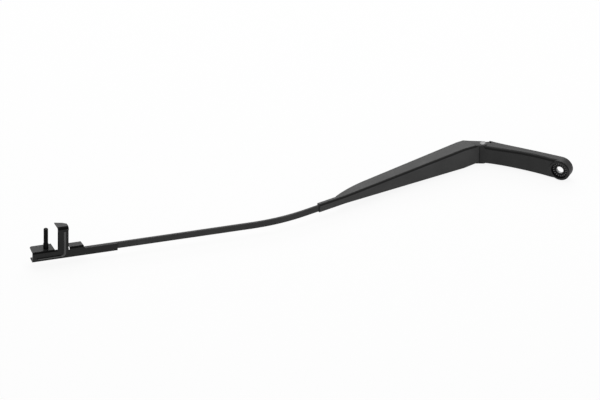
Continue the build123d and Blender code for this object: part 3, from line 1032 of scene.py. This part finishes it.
@dataclass
class SpringAssembly:
    """Tension spring between the eye of the link and the turned-down end of the rod."""

    shop: Workshop
    arm: ArmFrame
    eye: tuple[float, float] = (74 * MM, -6.584 * MM)
    end: tuple[float, float] = (138.5 * MM, -10.2 * MM)
    wire_radius: float = 0.85 * MM
    coil_radius: float = 3.0 * MM
    turns: float = 13.7
    pitch: float = 3.2 * MM
    lead: float = 8.0 * MM
    run_out: float = 2 * MM
    hook: float = 4 * MM
    steps: int = 24
    sides: int = 12

    def path(self) -> list[Vector]:
        """Lays out the wire from its hook to its tail.

        Returns:
            The points of the wire in the row frame.
        """
        eye = self.arm.place(*self.eye)
        end = self.arm.place(*self.end)
        along = (end - eye).normalized()
        up = Vector((0.0, 0.0, 1.0))
        side = along.cross(up)
        run = (end - eye).length
        r = self.coil_radius
        count = round(self.turns * self.steps)
        local = [(-r, 0.0, 0.0), (0.0, 0.0, 0.0), (r, 0.0, 0.0), (r, 0.0, self.lead / 2)]
        for i in range(count + 1):
            a = math.tau * i / self.steps
            local.append((r * math.cos(a), r * math.sin(a), self.lead + self.pitch * i / self.steps))
        x, y, z = local[-1]
        local += [
            (x, y, z + self.run_out), (0.0, -r, run), (0.0, -r, run + self.hook), (0.0, r, run + self.hook)]
        return [eye + up * x + side * -y + along * z for x, y, z in local]

    def build(self) -> None:
        """Builds and dresses the spring."""
        curve = bpy.data.curves.new("spring_path", "CURVE")
        curve.dimensions = "3D"
        points = self.path()
        spline = curve.splines.new("POLY")
        spline.points.add(len(points) - 1)
        for point, place in zip(spline.points, points):
            point.co = (*place, 1.0)
        work = bpy.data.objects.new("spring_work", curve)
        bpy.context.scene.collection.objects.link(work)
        run_tree(
            work, wire_tree(), Material=self.shop.paints.material(Slot.SPRING_STEEL),
            Wire_Radius=self.wire_radius, Sides=self.sides)
        spring = plain_mesh(work, "coil_spring")
        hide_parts("tension_spring")
        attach(spring, Body.ARM.value)
        LOG.info("coil_spring: %.1f turns", self.turns)


@dataclass
class TipAssembly:
    """Flat rod and the side-pin blade fitting on its end."""

    shop: Workshop
    arm: ArmFrame
    bend: float = math.radians(17.5)
    edge: float = 0.25 * MM
    rod_edge: float = 0.3 * MM
    pin_edge: float = 0.2 * MM
    strap_edge: float = 0.45 * MM
    strap_foot: float = 6.7 * MM
    # where the bead's painted highlight begins: depth below the crest and the x of the turn
    bead_depth: float = 0.8 * MM
    bead_turn: float = -437.6 * MM

    def build(self) -> None:
        """Builds and dresses the pieces of the tip."""
        self.shop.finish_node("arm_rod", "flat_rod", Slot.ROD_COAT, Body.ARM, self.rod_edge)
        outward = self.arm.outward(self.bend)
        # painted shade on the slanted crease faces of the carrier and the bracket
        crease = CreaseShadeRule(outward)
        self.shop.finish_node("rod_carrier", "tip_carrier", Slot.TIP_COAT, Body.ARM, self.edge, (crease,))
        # the bead's painted highlight covers faces that stand out past this depth below the crest
        crest = max(v.co.dot(outward) for v in self.shop.nodes["blade_bracket"].data.vertices)
        bead = BeadHighlightRule(outward, crest - self.bead_depth, self.bead_turn)
        # painted shade on the strap's slanted edges and painted highlight on the bead
        rules = (crease, StrapShadeRule(outward, self.strap_foot), bead)
        self.shop.finish_node(
            "blade_bracket", "tip_bracket", Slot.TIP_COAT, Body.ARM, self.strap_edge, rules)
        self.shop.finish_node("blade_pin", "side_pin", Slot.PIN_COAT, Body.ARM, self.pin_edge)


# Studio


@dataclass(frozen=True)
class SoftLamp:
    """A large soft area lamp that looks at the object."""

    name: str
    place: tuple[float, float, float]
    size: tuple[float, float]
    power: float

    def build(self, target: Vector) -> None:
        """Adds the lamp.

        Args:
            target: The point that it faces.
        """
        data = bpy.data.lights.new(self.name, "AREA")
        data.shape = "RECTANGLE"
        data.size, data.size_y = self.size
        data.energy = self.power
        lamp = bpy.data.objects.new(self.name, data)
        lamp.location = Vector(self.place)
        lamp.rotation_euler = (target - lamp.location).to_track_quat("-Z", "Y").to_euler()
        bpy.context.scene.collection.objects.link(lamp)


@dataclass
class Studio:
    """Pale floor, soft light and the camera of the photograph."""

    azimuth: float = math.radians(23)
    elevation: float = math.radians(33)
    frame_width: float = 0.66
    distance: float = 2.5
    target: tuple[float, float, float] = (-0.2390, -0.1685, 0.0)
    rise: float = 0.55 * MM
    far_end: float = 50.0
    floor_size: float = 40.0
    floor_gap: float = 0.05 * MM
    floor_level: float = 0.82
    floor_roughness: float = 0.9
    floor_specular: float = 0.1
    white_share: float = 0.9
    ambient: float = 0.5
    lamps: tuple[SoftLamp, ...] = (
        SoftLamp("overhead", (-0.35, 0.1, 1.8), (1.8, 1.4), 18.0),
        SoftLamp("back", (-0.95, 1.5, 1.2), (2.4, 1.0), 17.0),
    )

    def build(self, lowest: float) -> None:
        """Adds the floor, the light and the camera.

        Args:
            lowest: Lowest height of the object.
        """
        self.add_floor(lowest - self.floor_gap)
        self.add_world()
        for lamp in self.lamps:
            lamp.build(Vector(self.target))
        self.add_camera()
        bpy.context.scene.view_settings.view_transform = "Standard"

    def background_rays(self, tree: bpy.types.NodeTree) -> bpy.types.NodeSocket:
        """Adds the nodes that tell rays that see the background from those that light the object.

        Args:
            tree: The node tree of the floor or of the world.

        Returns:
            A value that is 1 for camera, glossy and transmission rays, and 0 for the rest.
        """
        rays = tree.nodes.new("ShaderNodeLightPath")
        total = rays.outputs["Is Camera Ray"]
        for name in ("Is Glossy Ray", "Is Transmission Ray"):
            either = tree.nodes.new("ShaderNodeMath")
            either.operation = "MAXIMUM"
            tree.links.new(total, either.inputs[0])
            tree.links.new(rays.outputs[name], either.inputs[1])
            total = either.outputs[0]
        return total

    def add_floor(self, height: float) -> None:
        """Adds a white floor that keeps the object's soft shadow.

        Args:
            height: Height of the floor.
        """
        half = self.floor_size / 2
        mesh = bpy.data.meshes.new("studio_floor")
        corners = [(x, y, height) for x, y in ((-half, -half), (half, -half), (half, half), (-half, half))]
        mesh.from_pydata(corners, [], [(0, 1, 2, 3)])
        floor = bpy.data.objects.new("studio_floor", mesh)
        bpy.context.scene.collection.objects.link(floor)
        material = bpy.data.materials.new("white_floor")
        material.use_nodes = True
        tree = material.node_tree
        shader = tree.nodes["Principled BSDF"]
        shader.inputs["Base Color"].default_value = grey(self.floor_level)
        shader.inputs["Roughness"].default_value = self.floor_roughness
        shader.inputs["Specular IOR Level"].default_value = self.floor_specular
        white = tree.nodes.new("ShaderNodeEmission")
        white.inputs["Color"].default_value = grey(1.0)
        white.inputs["Strength"].default_value = 1.0
        share = tree.nodes.new("ShaderNodeMath")
        share.operation = "MULTIPLY"
        share.inputs[1].default_value = self.white_share
        tree.links.new(self.background_rays(tree), share.inputs[0])
        mix = tree.nodes.new("ShaderNodeMixShader")
        tree.links.new(share.outputs[0], mix.inputs["Fac"])
        tree.links.new(shader.outputs["BSDF"], mix.inputs[1])
        tree.links.new(white.outputs["Emission"], mix.inputs[2])
        tree.links.new(mix.outputs["Shader"], tree.nodes["Material Output"].inputs["Surface"])
        mesh.materials.append(material)
        floor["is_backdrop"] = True

    def add_world(self) -> None:
        """Adds an even pale surround that shows as white."""
        world = bpy.data.worlds.new("studio_world")
        world.use_nodes = True
        tree = world.node_tree
        light = tree.nodes["Background"]
        light.inputs["Color"].default_value = grey(1.0)
        light.inputs["Strength"].default_value = self.ambient
        white = tree.nodes.new("ShaderNodeBackground")
        white.inputs["Color"].default_value = grey(1.0)
        white.inputs["Strength"].default_value = 1.0
        mix = tree.nodes.new("ShaderNodeMixShader")
        tree.links.new(self.background_rays(tree), mix.inputs["Fac"])
        tree.links.new(light.outputs["Background"], mix.inputs[1])
        tree.links.new(white.outputs["Background"], mix.inputs[2])
        tree.links.new(mix.outputs["Shader"], tree.nodes["World Output"].inputs["Surface"])
        bpy.context.scene.world = world

    def add_camera(self) -> None:
        """Adds the camera at the photograph's viewing angle."""
        data = bpy.data.cameras.new("photo_camera")
        data.type = "ORTHO"
        data.ortho_scale = self.frame_width
        data.clip_end = self.far_end
        camera = bpy.data.objects.new("photo_camera", data)
        flat = math.cos(self.elevation)
        forward = Vector((
            -math.sin(self.azimuth) * flat, math.cos(self.azimuth) * flat, -math.sin(self.elevation)))
        right = Vector((math.cos(self.azimuth), math.sin(self.azimuth), 0.0))
        target = Vector(self.target) + right.cross(forward) * self.rise
        camera.location = target - forward * self.distance
        camera.rotation_euler = forward.to_track_quat("-Z", "Y").to_euler()
        bpy.context.scene.collection.objects.link(camera)
        bpy.context.scene.camera = camera


def main() -> None:
    """Builds the sub-assemblies around the frame, then the studio."""
    logging.basicConfig(level=logging.INFO, format="%(name)s %(message)s")
    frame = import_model()
    cad_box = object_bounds()
    hinge = next(j for j in frame["joints"] if j["name"] == "arm_lift")
    arm = ArmFrame(Vector(hinge["pos_m"]))
    shop = Workshop(frame["nodes"], Paintbox(ShaderGroups.build()), weld_tree(), smooth_tree())
    HeadAssembly(shop).build()
    ChannelAssembly(shop, arm).build()
    SpringAssembly(shop, arm).build()
    TipAssembly(shop, arm).build()
    Studio().build(cad_box[0][2])


if __name__ == "__main__":
    main()
